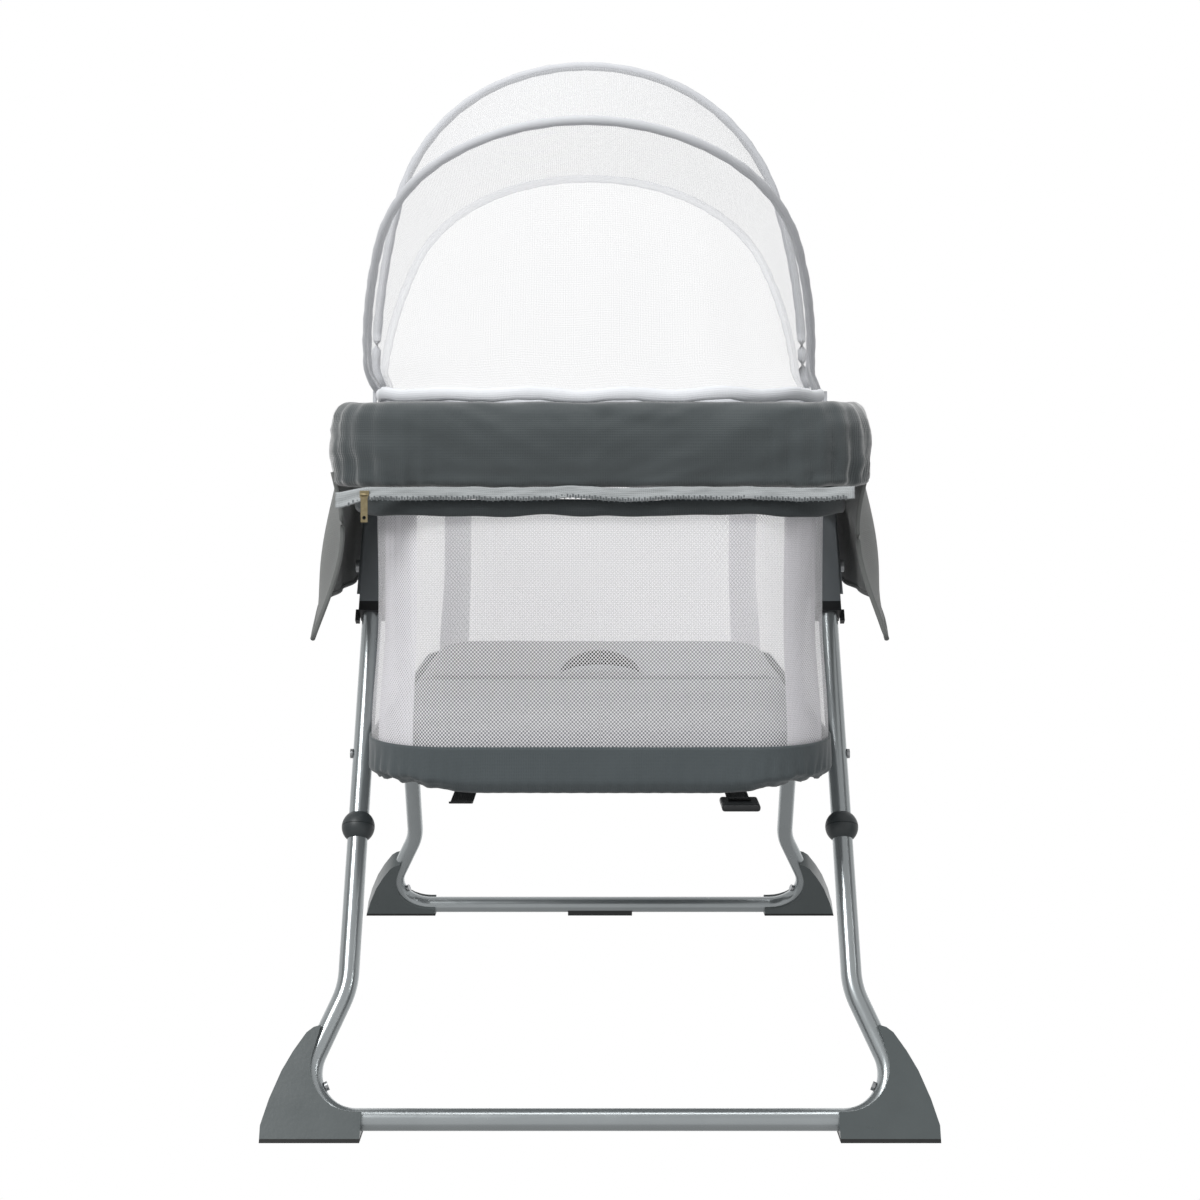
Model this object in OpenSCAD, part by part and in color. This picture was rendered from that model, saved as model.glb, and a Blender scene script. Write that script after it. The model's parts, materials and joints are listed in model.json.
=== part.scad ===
// Folding bassinet on a two-part tube stand, with a zipped mesh basket and a net canopy.
// X runs across the bed, Y along it, Z up. The origin is on the floor under the middle.

/* [Stand] */
// Width over the two feet of one floor frame
stand_w = 590; // [560:5:680]
// Distance of each floor bar from the middle of the bed
bar_y = 385; // [340:5:440]
// Outside diameter of the leg tube
tube_d = 19; // [16:0.5:20]
// Wall of the leg tube
tube_wall = 1.2; // [0.8:0.1:2]
// Distance of each leg from the middle of the bed at the height of the rim
leg_top_y = 22.443; // [21:0.001:30]
// Distance of each leg from the middle, where it is straight
leg_x = 228; // [224:1:236]
// Height of the folding ball joints
ball_z = 241; // [200:1:260]
// Radius of the lower bends of the floor frame
bend_r = 41; // [36:1:46]
// Distance of the widest part of the floor tube from the end of the foot
bend_in = 40; // [35:1:45]
// Slant of the tube between its two bends
bend_slant = 22.4; // [18:0.2:26]
// Radius of the upper bends of the floor frame
upper_bend_r = 70; // [50:5:90]

/* [Feet] */
// Thickness of a foot
foot_t = 26; // [23:1:32]
// Length of a foot along the floor bar
foot_len = 87; // [75:1:95]
// Thickness of the soft sole
sole_t = 3; // [2:0.5:3]
// Radius of the foot screws
screw_r = 2; // [1.5:0.5:2.5]
// Length of the glide pad under the far bar
glide_len = 81; // [50:1:120]

/* [Ball joints] */
// Radius of the ball
ball_r = 15.5; // [14.5:0.5:18]
// Height of the ball along the leg
ball_h = 27; // [24:1:28]
// Distance of the folding pin from the middle of the leg
pin_off = 11; // [11:0.5:12]
// Radius of the folding pin
pin_r = 2; // [1.5:0.5:2.5]
// Radius of the hinge knuckles
knuckle_r = 5; // [4.5:0.25:5]
// Half width of the middle knuckle
knuckle_half = 4; // [3:0.5:5]

/* [Basket] */
// Height of the rim tube's middle
rim_z = 628; // [600:1:660]
// Diameter of the rim tube
rim_tube_d = 16; // [12:1:18]
// Distance of the rim tube's ends from the middle
rim_y = 380; // [360:5:400]
// Plan radius of the rim tube's corners
rim_corner = 55; // [45:5:80]
// Drop of the padded cover below the rim tube's middle
cover_drop = 64; // [55:1:75]
// Rise of the padded cover above the rim tube's middle
cover_rise = 14; // [13:1:18]
// Depth of the basket under the padded cover
basket_h = 266; // [240:1:280]
// Height of the base band
base_h = 35; // [30:1:45]
// Gap from the legs' middle lines to the mesh at the sides
wall_gap = 16; // [15:1:25]
// Reach of the mesh past the rim tube's middle at the ends
wall_over = 6; // [0:1:8]
// Plan radius of the basket's corners
wall_corner = 78; // [60:2:90]
// Thickness of the mesh wall
mesh_t = 2; // [1:0.5:3]
// Height of the rolled hem under the rim cover
hem_h = 25; // [18:1:30]

/* [Mattress] */
// Height of the mattress top over the bottom of the basket
mattress_rise = 54; // [50:1:65]
// Thickness of the mattress
mattress_t = 26; // [20:1:30]
// Gap between the mattress and the basket wall
mattress_gap = 10; // [6:1:20]
// Thickness of the stiff boards under the mattress
board_t = 4; // [3:0.5:5]

/* [Side brackets] */
// Room across a post past the leg tube, walls and all
post_room_w = 5; // [4.5:0.5:6]
// Room along a post past the leg tube, walls and all
post_room_d = 7; // [5:0.5:9]
// Drop of the posts below the rim tube's middle
post_drop = 190; // [180:1:200]
// Wall of the sockets
post_wall = 1.8; // [1:0.1:2]
// Height of the bolts over the foot of the posts
bolt_rise = 39; // [30:1:50]
// Radius of the pivot bolts
bolt_r = 3; // [2:0.5:4]
// Distance of the flaps' ends from the ends of the rim
flap_in = 50; // [40:5:100]
// Drop of the flaps below the padded cover
flap_drop = 122; // [100:1:130]

/* [Canopy] */
// Rise of the hoop pivots over the rim tube's middle
hoop_rise = 22; // [22:0.5:30]
// Height of each hoop above its pivots
hoop_h = 354; // [300:2:380]
// Reach of the middle hoop past the legs' middle lines
hoop_over = 0.5; // [0:0.1:2]
// Height above the pivots where the hoops are widest
hoop_wide_h = 20; // [10:5:40]
// Radius of the hoops' long sides
hoop_side_r = 700; // [650:10:800]
// Turn of the hoops' long sides before the shoulder
hoop_side_turn = 15.5; // [14:0.5:16]
// Radius of the hoops' top past their half width
hoop_top_over = 6.5; // [0:0.5:20]
// Diameter of a hoop rod
rod_d = 5; // [3:0.5:5]
// Lean of the near hoop
near_lean = 43; // [35:1:50]
// Lean of the far hoop
far_lean = 42; // [35:1:50]
// Thickness of the net solids
net_t = 1.5; // [1:0.5:3]

/* [Hidden] */
$fn = 64;
CLEAR = 0.4;
bar_z = sole_t + tube_d / 2;
lean = atan2(bar_y - leg_top_y, rim_z - bar_z);
ball_v = (ball_z - bar_z) / cos(lean);
foot_x = stand_w / 2;
bend_x = foot_x - bend_in;
slant_top_x = leg_x + upper_bend_r * (1 - cos(bend_slant));
cover_bottom = rim_z - cover_drop;
cover_top = rim_z + cover_rise;
base_z = cover_bottom - basket_h;
mattress_top = base_z + mattress_rise;
wall_x = leg_x - wall_gap;
wall_y = rim_y + wall_over;
post_w = tube_d + post_room_w;
post_d = tube_d + post_room_d;
post_z = rim_z - post_drop;
bolt_z = post_z + bolt_rise;
flap_len = 2 * (rim_y - flap_in);
flap_bottom = cover_bottom - flap_drop;
hoop_z = rim_z + hoop_rise;
hoop_w = leg_x + hoop_over;
hoop_top_r = hoop_w + hoop_top_over;
arc_x = bend_x - bend_r;
slant_x0 = arc_x + bend_r * cos(bend_slant);
slant_v0 = bend_r + bend_r * sin(bend_slant);
slant_len = (slant_x0 - slant_top_x) / sin(bend_slant);
slant_v1 = slant_v0 + slant_len * cos(bend_slant);
straight_v = slant_v1 + upper_bend_r * sin(bend_slant);
tube_end = 6;
sleeve_len = 6;
cover_in = 12;
cover_out = 15;
floor_z = mattress_top - mattress_t - board_t - 5;
post_v = (post_z - bar_z) / cos(lean);
bolt_v = (bolt_z - bar_z) / cos(lean);
rivet_v = ball_v + 73;
rivet_r = 2.5;
rivet_head_r = 4.5;
head_t = 4;
post_len = (rim_z - post_z) / cos(lean) + post_d;
post_top = rim_z - 2;
plate_t = 3;
plate_low = 140;
plate_high = 60;
collar_h = 10;
rod_step = rod_d + 0.5;
pivot_r = 2;
ferrule_r = rod_d / 2 + 0.6;
ferrule_len = 16;
eye_r = 5.5;
clip_half = 14;
net_from = 60;
zip_x = leg_x - 6;
zip_h = 10;
zip_t = 3;
zip_y = rim_y + cover_out - 3;
slider_x = 17 - zip_x;
pull_len = 22;
tape_gap = 0.3;
hem_out = 7;
fold_r = 2.4;
flap_t = 3;
strap_w = 25;
strap_r = 20;
strap_long = 42;
strap_t = 2;
strap_left_x = -148;
strap_right_x = 105;
strap_left_end = 40;
strap_right_end = 60;
buckle_h = 6;
net_gap = 3;
net_stop = 87;
REACH = 600;

// Places and mirrors
module on_side(side) { mirror([side < 0 ? 1 : 0, 0, 0]) children(); }
module at_end(end) { mirror([0, end > 0 ? 1 : 0, 0]) children(); }

// The plane of a floor frame: x across the bed, y up along the legs, z out of the plane
module leg_plane() { translate([0, -bar_y, bar_z]) rotate([90 - lean, 0, 0]) children(); }
module ball_place(side, end) { at_end(end) on_side(side) leg_plane() translate([leg_x, ball_v, 0]) children(); }
module along_x(from, to, r) { translate([from, 0, 0]) rotate([0, 90, 0]) cylinder(r = r, h = to - from); }

// A rounded rectangle swept with a flat outline, whose x runs outwards and whose y is up
module swept_ring(half_x, half_y, corner) {
    for (turn = [0, 180]) rotate([0, 0, turn]) {
        translate([half_x, half_y - corner, 0]) rotate([90, 0, 0])
            linear_extrude(2 * (half_y - corner)) children();
        translate([half_x - corner, half_y, 0]) rotate([90, 0, 90]) mirror([0, 0, 1])
            linear_extrude(2 * (half_x - corner)) children();
        translate([half_x - corner, half_y - corner, 0]) rotate_extrude(angle = 90)
            translate([corner, 0]) children();
        translate([corner - half_x, half_y - corner, 0]) rotate([0, 0, 90]) rotate_extrude(angle = 90)
            translate([corner, 0]) children();
    }
}
module rounded_plate(half_x, half_y, corner, h) {
    union() {
        translate([corner - half_x, -half_y, 0]) cube([2 * (half_x - corner), 2 * half_y, h]);
        translate([-half_x, corner - half_y, 0]) cube([2 * half_x, 2 * (half_y - corner), h]);
        for (x = [-1, 1], y = [-1, 1])
            translate([x * (half_x - corner), y * (half_y - corner), 0]) cylinder(r = corner, h = h);
    }
}

// One side of a floor frame, from the middle of the bar up to the ball joint
module tube_outline(hollow) {
    difference() {
        circle(d = tube_d);
        if (hollow) circle(d = tube_d - 2 * tube_wall);
    }
}
module inner_sleeve() {
    translate([0, 0, -sleeve_len / 2]) difference() {
        cylinder(d = tube_d - tube_wall, h = sleeve_len);
        translate([0, 0, -1]) cylinder(d = tube_d - 3.5 * tube_wall, h = sleeve_len + 2);
    }
}
module frame_sleeves() {
    rotate([0, 90, 0]) inner_sleeve();
    translate([arc_x, 0, 0]) rotate([0, 90, 0]) inner_sleeve();
    translate([slant_x0, slant_v0, 0]) rotate([-90, 0, bend_slant]) inner_sleeve();
    translate([slant_top_x, slant_v1, 0]) rotate([-90, 0, bend_slant]) inner_sleeve();
    translate([leg_x, straight_v, 0]) rotate([-90, 0, 0]) inner_sleeve();
}
module frame_side(hollow) {
    rotate([0, 90, 0]) linear_extrude(arc_x) tube_outline(hollow);
    translate([arc_x, bend_r, 0]) rotate([0, 0, -90])
        rotate_extrude(angle = 90 + bend_slant) translate([bend_r, 0]) tube_outline(hollow);
    translate([slant_x0, slant_v0, 0]) rotate([-90, 0, bend_slant])
        linear_extrude(slant_len) tube_outline(hollow);
    translate([leg_x + upper_bend_r, straight_v, 0]) rotate([0, 0, 180])
        rotate_extrude(angle = bend_slant) translate([upper_bend_r, 0]) tube_outline(hollow);
    translate([leg_x, straight_v, 0]) rotate([-90, 0, 0])
        linear_extrude(ball_v - tube_end - straight_v) tube_outline(hollow);
}
module screw_place() { translate([arc_x, bend_r, 0]) rotate([0, 0, -25]) children(); }
module floor_frame(end) {
    color("slategray") difference() {
        at_end(end) leg_plane() for (side = [-1, 1]) on_side(side) {
            frame_side(true);
            frame_sleeves();
        }
        at_end(end) leg_plane() for (side = [-1, 1]) on_side(side) screw_place()
            along_x(bend_r - tube_d, bend_r + tube_d, screw_r);
    }
}
module foot_outline() {
    polygon(concat(
        [[foot_x - foot_len, -3 * tube_d], [foot_x - 1, -3 * tube_d], [foot_x, -7.3],
         [foot_x - 6, 15], [foot_x - 15, 39], [foot_x - 24, 56], [foot_x - 34.5, 72],
         [foot_x - 40.5, 76.6], [foot_x - 47, 78.6]],
        [for (a = [20:-10:-90]) [arc_x + bend_r * cos(a), bend_r + 4 + bend_r * sin(a)]],
        [[foot_x - foot_len, 4]]
    ));
}
module foot_blank(low, high) {
    intersection() {
        leg_plane() translate([0, 0, -foot_t / 2]) linear_extrude(foot_t) foot_outline();
        translate([0, -2 * bar_y, low]) cube([stand_w, 2 * bar_y, high - low]);
    }
}
module foot(side, end) {
    color("dimgray") at_end(end) on_side(side) difference() {
        foot_blank(sole_t, 200);
        leg_plane() frame_side(false);
        leg_plane() screw_place() along_x(bend_r, bend_r + 24, screw_r);
    }
}
module foot_soles(end) {
    color("black") at_end(end) for (side = [-1, 1]) on_side(side) foot_blank(0, sole_t);
}
module foot_screws(end) {
    color("silver") at_end(end) leg_plane() for (side = [-1, 1]) on_side(side) screw_place() {
        along_x(bend_r - tube_d / 2 - 3, bend_r - tube_d / 2 - 0.2, 2 * screw_r);
        along_x(bend_r - tube_d / 2 - 0.2, bend_r + 22, screw_r);
    }
}
module bar_glide() {
    color("black") translate([-glide_len / 2, bar_y - 7, 0]) difference() {
        cube([glide_len, 14, 8]);
        translate([0, 7, bar_z]) along_x(-1, glide_len + 1, tube_d / 2);
    }
}

// Ball joints: x across the bed, y up the leg, z out of the frame's plane
module ball_body() { intersection() {
    sphere(r = ball_r);
    translate([-ball_r, -ball_h / 2, -ball_r]) cube([2 * ball_r, ball_h, 2 * ball_r]);
} }
module ball_cap(side, end) {
    color("dimgray") ball_place(side, end) difference() {
        union() {
            intersection() {
                ball_body();
                translate([-ball_r, CLEAR / 2, -ball_r]) cube(2 * ball_r);
            }
            for (s = [-1, 1]) translate([s > 0 ? knuckle_half + CLEAR : -knuckle_half - CLEAR - 5.4, 0, -pin_off])
                along_x(0, 5.4, knuckle_r);
        }
        translate([0, tube_end, 0]) rotate([-90, 0, 0]) cylinder(d = tube_d, h = ball_r);
        translate([-knuckle_half - CLEAR, -ball_r, -2 * ball_r])
            cube([2 * (knuckle_half + CLEAR), 3 * ball_r, 2 * ball_r - pin_off + knuckle_r + CLEAR]);
        translate([0, 0, -pin_off]) along_x(-ball_r, ball_r, pin_r);
    }
}
module ball_socket(side, end) {
    color("dimgray") ball_place(side, end) difference() {
        union() {
            difference() {
                intersection() {
                    ball_body();
                    translate([-ball_r, -2 * ball_r - CLEAR / 2, -ball_r]) cube(2 * ball_r);
                }
                for (s = [-1, 1])
                    translate([s > 0 ? knuckle_half : -knuckle_half - 20, -2 * ball_r, -2 * ball_r])
                        cube([20, 3 * ball_r, 2 * ball_r - pin_off + knuckle_r + CLEAR]);
            }
            translate([0, 0, -pin_off]) along_x(-knuckle_half, knuckle_half, knuckle_r);
        }
        translate([0, -tube_end, 0]) rotate([90, 0, 0]) cylinder(d = tube_d, h = ball_r);
        translate([0, 0, -pin_off]) along_x(-ball_r, ball_r, pin_r + 0.05);
    }
}
module folding_pins(end) {
    color("silver") for (side = [-1, 1]) ball_place(side, end) translate([0, 0, -pin_off])
        along_x(-knuckle_half - 5.8, knuckle_half + 5.8, pin_r);
}

// Upper legs and the brackets that hold them
module bolt_place(end) { at_end(end) leg_plane() translate([0, bolt_v, 0]) children(); }
module upper_leg(side, end) {
    color("slategray") difference() {
        at_end(end) on_side(side) leg_plane() translate([leg_x, ball_v + tube_end, 0]) rotate([-90, 0, 0])
            linear_extrude(bolt_v + 30 - ball_v - tube_end) tube_outline(true);
        bolt_place(end) along_x(side < 0 ? -leg_x - 20 : leg_x - 20, side < 0 ? 20 - leg_x : leg_x + 20, bolt_r);
        at_end(end) on_side(side) leg_plane() translate([0, rivet_v, 0])
            along_x(leg_x - tube_d, leg_x + tube_d, rivet_r);
    }
}
module leg_rivets() {
    color("silver") for (side = [-1, 1], end = [-1, 1]) at_end(end) on_side(side) leg_plane()
        translate([0, rivet_v, 0]) {
            along_x(leg_x - tube_d / 2 - CLEAR, leg_x + tube_d / 2, rivet_r);
            along_x(leg_x + tube_d / 2, leg_x + tube_d / 2 + rivet_r, rivet_head_r);
        }
}
module leg_post() {
    translate([leg_x, post_v, 0]) rotate([-90, 0, 0]) difference() {
        translate([-post_w / 2, -post_d / 2, 0]) cube([post_w, post_d, post_len]);
        translate([post_wall - post_w / 2, post_wall - post_d / 2, -1])
            cube([post_w - 2 * post_wall, post_d - 2 * post_wall, post_len + 2]);
    }
}
module bracket_plate() {
    translate([leg_x + post_w / 2 - post_wall / 2, 0, 0]) rotate([90, 0, 90])
        linear_extrude(plate_t + post_wall / 2) polygon([
            [-plate_low, post_z + post_d / 2], [plate_low, post_z + post_d / 2],
            [plate_high, cover_bottom - 2], [-plate_high, cover_bottom - 2]
        ]);
}
module side_bracket(side) {
    color("gray") on_side(side) difference() {
        union() {
            for (end = [-1, 1]) intersection() {
                at_end(end) leg_plane() leg_post();
                translate([0, end < 0 ? -REACH : 0, 0]) cube([REACH, REACH, post_top]);
            }
            bracket_plate();
        }
        for (end = [-1, 1]) bolt_place(end) along_x(leg_x - post_w, leg_x + post_w, bolt_r);
        translate([leg_x, REACH / 2, rim_z]) rotate([90, 0, 0]) cylinder(d = rim_tube_d, h = REACH);
    }
}
module pivot_bolts(side) {
    color("silver") for (end = [-1, 1]) on_side(side) bolt_place(end) {
        along_x(leg_x - post_w / 2 - head_t, leg_x + post_w / 2 + plate_t, bolt_r);
        along_x(leg_x + post_w / 2 + plate_t, leg_x + post_w / 2 + plate_t + head_t, 2 * bolt_r);
        along_x(leg_x - post_w / 2 - head_t, leg_x - post_w / 2, 2 * bolt_r - 1);
    }
}
module leg_collars(side) {
    color("black") for (end = [-1, 1]) at_end(end) on_side(side) leg_plane()
        translate([leg_x, post_v - collar_h, 0]) rotate([-90, 0, 0]) difference() {
            union() {
                translate([-post_w / 2, -post_d / 2, 0]) cube([post_w, post_d, collar_h]);
                translate([post_w / 2, -head_t, collar_h / 2 - 3 * head_t])
                    cube([head_t, 2 * head_t, 3 * head_t]);
            }
            translate([0, 0, -1]) cylinder(d = tube_d + 0.05, h = collar_h + 2);
        }
}

// Basket
module rim_tube() {
    color("silver") translate([0, 0, rim_z]) swept_ring(leg_x, rim_y, rim_corner) difference() {
        circle(d = rim_tube_d);
        circle(d = rim_tube_d - 2 * tube_wall);
    }
}
module post_blanks(gap) {
    for (side = [-1, 1], end = [-1, 1]) at_end(end) on_side(side) leg_plane()
        translate([leg_x - post_w / 2 - gap, post_v, -post_d / 2 - gap])
            cube([post_w + 2 * gap, (rim_z - bar_z) / cos(lean) - post_v + 6, post_d + 2 * gap]);
}
module rim_cover() {
    color("darkslategray") difference() {
        swept_ring(leg_x, rim_y, rim_corner) difference() {
            union() {
                translate([-cover_in, cover_bottom]) square([cover_in + cover_out, cover_top - cover_bottom - 8]);
                translate([8 - cover_in, cover_top - 8]) square([cover_in + cover_out - 16, 8]);
                translate([8 - cover_in, cover_top - 8]) circle(r = 8);
                translate([cover_out - 8, cover_top - 8]) circle(r = 8);
            }
            translate([0, rim_z]) circle(d = rim_tube_d);
        }
        post_blanks(0.2);
    }
}
module side_flap(side) {
    color("gray") on_side(side) translate([0, flap_len / 2, 0]) rotate([90, 0, 0]) linear_extrude(flap_len)
        polygon([
            [leg_x + cover_out, cover_bottom + 8], [leg_x + cover_out + flap_t, cover_bottom + 8],
            [leg_x + 2 * cover_out, flap_bottom], [leg_x + 2 * cover_out - flap_t - 1, flap_bottom]
        ]);
}
module mesh_wall() {
    color("whitesmoke") swept_ring(wall_x - mesh_t, wall_y - mesh_t, wall_corner)
        translate([0, base_z + base_h]) square([mesh_t, cover_bottom - hem_h - base_z - base_h + 2]);
}
module hem_band() {
    color("darkslategray") swept_ring(wall_x - 3, wall_y - hem_out + 2, wall_corner)
        translate([0, cover_bottom - hem_h + 2]) square([hem_out, hem_h - 2]);
}
module zip_tape() {
    color("silver") translate([-zip_x, -zip_y, cover_bottom - zip_h]) cube([2 * zip_x, zip_t, zip_h]);
}
module pull_place() {
    translate([slider_x, -zip_y - zip_t - tape_gap - 1, cover_bottom - 4.5]) children();
}
module zip_slider() {
    color("darkgoldenrod") translate([slider_x - 4, -zip_y - zip_t - tape_gap, cover_bottom - 8])
        cube([8, 3, 7]);
    color("darkgoldenrod") pull_place() along_x(-2, 2, 1.2);
}
module zip_pull() {
    color("gold") pull_place() difference() {
        union() {
            rotate([90, 0, 0]) translate([-3, -pull_len - 2, -0.5]) linear_extrude(1) square([6, pull_len]);
            for (s = [-1, 1]) translate([s > 0 ? 2.2 : -3.2, -0.5, -3]) cube([1, 1, 3]);
            along_x(-3.2, -2.2, 1);
            along_x(2.2, 3.2, 1);
        }
        translate([0, 1, 2 - pull_len]) rotate([90, 0, 0]) cylinder(r = 1.6, h = 2);
    }
}
module base_band() {
    color("slategray") difference() {
        translate([0, 0, base_z]) rounded_plate(wall_x, wall_y, wall_corner, base_h);
        translate([0, 0, base_z - 1]) rounded_plate(wall_x - 3, wall_y - 3, wall_corner - 3, base_h + 2);
    }
}
module base_floor() {
    color("dimgray") translate([0, 0, floor_z]) rounded_plate(wall_x - 3, wall_y - 3, wall_corner - 3, 3);
}
module bed_half(end, z, h, inset) {
    intersection() {
        translate([0, 0, z]) rounded_plate(wall_x - inset, wall_y - inset, wall_corner - inset, h);
        at_end(end) translate([-REACH, -REACH, z])
            cube([2 * REACH, REACH - CLEAR / 2 - (end < 0 ? fold_r : 0), h]);
    }
}
module board(end) { color("burlywood") bed_half(end, floor_z + 4, board_t, mattress_gap + 4); }
module mattress(end) {
    color("lightgray") union() {
        bed_half(end, mattress_top - mattress_t, mattress_t, mattress_gap);
        if (end > 0) translate([0, 0, mattress_top])
            along_x(2 * mattress_gap - wall_x, wall_x - 2 * mattress_gap, fold_r);
    }
}
module pull_strap() {
    color("black") translate([0, fold_r + 0.6, mattress_top]) rotate([-90, 0, 0])
        linear_extrude(strap_w) difference() {
            scale([strap_long / strap_r, 1]) circle(r = strap_r);
            scale([(strap_long - strap_t) / (strap_r - strap_t), 1]) circle(r = strap_r - strap_t);
            translate([-2 * strap_long, 0]) square(4 * strap_long);
        }
}
module floor_strap() {
    color("black") translate([strap_left_x, strap_left_end - wall_y, base_z - 1])
        cube([strap_w, 2 * (wall_y - strap_left_end), strap_t]);
    color("black") translate([strap_right_x, strap_right_end - wall_y, base_z - 1])
        cube([strap_w, 2 * (wall_y - strap_right_end), strap_t]);
    color("black") for (x = [strap_left_x, strap_right_x], end = [-1, 1])
        at_end(end) translate([x, strap_right_end - wall_y, base_z + 1])
            cube([strap_w, strap_t, floor_z - base_z - 1]);
}
module strap_buckle() {
    color("black") translate([strap_right_x - 3, strap_right_end + buckle_h - wall_y, base_z - 1 - buckle_h])
        cube([strap_w + buckle_h, 7 * buckle_h, buckle_h]);
}

// Canopy hoops, drawn upright in the XZ plane above the pivots
function hoop_foot(w) = w - hoop_side_r + sqrt(pow(hoop_side_r, 2) - pow(hoop_wide_h, 2));
function shoulder_ax(w) = w - hoop_side_r + hoop_side_r * cos(hoop_side_turn);
function shoulder_ay() = hoop_wide_h + hoop_side_r * sin(hoop_side_turn) - hoop_h + hoop_top_r;
function shoulder_r(w) = (pow(shoulder_ax(w), 2) + pow(shoulder_ay(), 2) - pow(hoop_top_r, 2))
    / (2 * (shoulder_ax(w) * cos(hoop_side_turn) + shoulder_ay() * sin(hoop_side_turn) - hoop_top_r));
function shoulder_x(w) = shoulder_ax(w) - shoulder_r(w) * cos(hoop_side_turn);
function shoulder_y(w) = shoulder_ay() - shoulder_r(w) * sin(hoop_side_turn) + hoop_h - hoop_top_r;
function shoulder_end(w) = atan2(shoulder_y(w) - hoop_h + hoop_top_r, shoulder_x(w));
module rod_arc(x, h, r, from, to) {
    translate([x, h, 0]) rotate([0, 0, from]) rotate_extrude(angle = to - from) translate([r, 0]) circle(d = rod_d);
}
module ferrule(x, h, r, turn) {
    translate([x, h, 0]) rotate([0, 0, turn]) translate([r, 0, 0]) rotate([90, 0, 0])
        cylinder(r = ferrule_r, h = ferrule_len, center = true);
}
module hoop(grow, tilt) {
    w = hoop_w + grow;
    color("gainsboro") translate([0, 0, hoop_z]) rotate([tilt, 0, 0]) difference() {
        union() {
            rotate([90, 0, 0]) {
                for (side = [-1, 1]) on_side(side) {
                    rod_arc(w - hoop_side_r, hoop_wide_h, hoop_side_r,
                        -asin(hoop_wide_h / hoop_side_r), hoop_side_turn);
                    rod_arc(shoulder_x(w), shoulder_y(w), shoulder_r(w), hoop_side_turn, shoulder_end(w));
                    ferrule(w - hoop_side_r, hoop_wide_h, hoop_side_r, hoop_side_turn);
                    ferrule(shoulder_x(w), shoulder_y(w), shoulder_r(w), shoulder_end(w));
                }
                rod_arc(0, hoop_h - hoop_top_r, hoop_top_r, shoulder_end(w), 180 - shoulder_end(w));
            }
            for (side = [-1, 1]) on_side(side)
                along_x(hoop_foot(w) - rod_d / 2, hoop_foot(w) + rod_d / 2, eye_r);
        }
        along_x(-2 * hoop_w, 2 * hoop_w, pivot_r + 0.05);
    }
}
module hoop_clips() {
    color("gainsboro") for (side = [-1, 1]) on_side(side) {
        translate([hoop_w - clip_half, -12, cover_top + CLEAR]) cube([2 * clip_half, 24, 1.6]);
        for (x = [hoop_w - clip_half, hoop_w + clip_half - 3]) difference() {
            translate([x, -6, cover_top + CLEAR + 1.6]) cube([3, 12, hoop_z + 6 - cover_top - CLEAR - 1.6]);
            translate([0, 0, hoop_z]) along_x(x - 1, x + 4, pivot_r);
        }
        translate([0, 0, hoop_z]) along_x(hoop_w - clip_half, hoop_w + clip_half, pivot_r);
    }
}

// Net, as slices of the dome that the hoops sweep about their pivots
function dome_point(turn, grow) = [
    net_from + (hoop_h - net_from + grow) * pow(abs(sin(turn)), 0.87),
    (hoop_w - rod_d + grow) * sign(cos(turn)) * pow(abs(cos(turn)), 0.82)
];
module net_outline() {
    polygon(concat(
        [for (turn = [0:9:180]) dome_point(turn, 0)],
        [for (turn = [180:-9:0]) dome_point(turn, -net_t)]
    ));
}
module net_slice(from, to) {
    color("white", 0.5) translate([0, 0, hoop_z]) rotate([-from, 0, 0]) rotate([0, -90, 0])
        rotate_extrude(angle = to - from) net_outline();
}

rim_tube();
side_bracket(-1);  // side_bracket_left
side_bracket(1);  // side_bracket_right
upper_leg(-1, -1);  // upper_leg_near_left
upper_leg(1, -1);  // upper_leg_near_right
upper_leg(-1, 1);  // upper_leg_far_left
upper_leg(1, 1);  // upper_leg_far_right
ball_cap(-1, -1);  // ball_cap_near_left
ball_cap(1, -1);  // ball_cap_near_right
ball_cap(-1, 1);  // ball_cap_far_left
ball_cap(1, 1);  // ball_cap_far_right
ball_socket(-1, -1);  // ball_socket_near_left
ball_socket(1, -1);  // ball_socket_near_right
ball_socket(-1, 1);  // ball_socket_far_left
ball_socket(1, 1);  // ball_socket_far_right
folding_pins(-1);  // folding_pins_near
folding_pins(1);  // folding_pins_far
leg_collars(-1);  // leg_collars_left
leg_collars(1);  // leg_collars_right
pivot_bolts(-1);  // pivot_bolts_left
pivot_bolts(1);  // pivot_bolts_right
leg_rivets();
floor_frame(-1);  // floor_frame_near
floor_frame(1);  // floor_frame_far
foot(-1, -1);  // foot_near_left
foot(1, -1);  // foot_near_right
foot(-1, 1);  // foot_far_left
foot(1, 1);  // foot_far_right
foot_soles(-1);  // foot_soles_near
foot_soles(1);  // foot_soles_far
foot_screws(-1);  // foot_screws_near
foot_screws(1);  // foot_screws_far
bar_glide();
rim_cover();
side_flap(-1);  // side_flap_left
side_flap(1);  // side_flap_right
mesh_wall();
hem_band();
zip_tape();
zip_slider();
zip_pull();
base_band();
base_floor();
floor_strap();
strap_buckle();
board(-1);  // board_near
board(1);  // board_far
mattress(-1);  // mattress_near
mattress(1);  // mattress_far
pull_strap();
hoop(0, 0);  // mid_hoop
hoop(rod_step, near_lean);  // near_hoop
hoop(-rod_step, -far_lean);  // far_hoop
hoop_clips();
net_slice(net_gap - near_lean, -net_gap);  // net_band_near
net_slice(net_gap, far_lean - net_gap);  // net_band_far
net_slice(-net_stop, -net_gap - near_lean);  // net_skirt_near
net_slice(far_lean + net_gap, net_stop);  // net_skirt_far
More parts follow.
